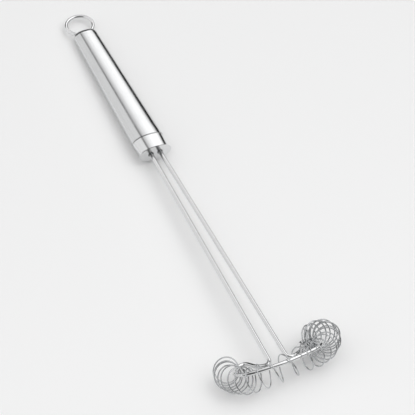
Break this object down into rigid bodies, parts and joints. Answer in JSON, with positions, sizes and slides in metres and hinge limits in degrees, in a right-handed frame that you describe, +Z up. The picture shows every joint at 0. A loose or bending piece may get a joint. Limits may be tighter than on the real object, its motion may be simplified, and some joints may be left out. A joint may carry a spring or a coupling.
{
  "type": "spiral whisk",
  "caption": "Hand whisk with a flattened steel handle, a hanging ring, a bent wire shank and a coil spring threaded on a bean-shaped wire head.",
  "frame": {"origin": "middle of the bottom of the whole tool as it lies on a table", "axes": "+X along the tool from the handle to the head, +Y across it, +Z up"},
  "size_m": [0.2728, 0.0666, 0.0161],
  "materials": {
    "handle": "satin brushed stainless steel",
    "polished": "polished stainless steel",
    "wire": "polished steel wire",
    "spring": "bright spring steel wire",
    "plug": "matt, hidden inside the handle"
  },
  "bodies": {
    "root": {"handle_shell": "handle", "front_cap": "polished", "wire_plug": "plug", "tail_plug": "plug", "hanging_ring": "polished", "whisk_frame": "wire", "whisk_spring": "spring"}
  },
  "joints": []
}
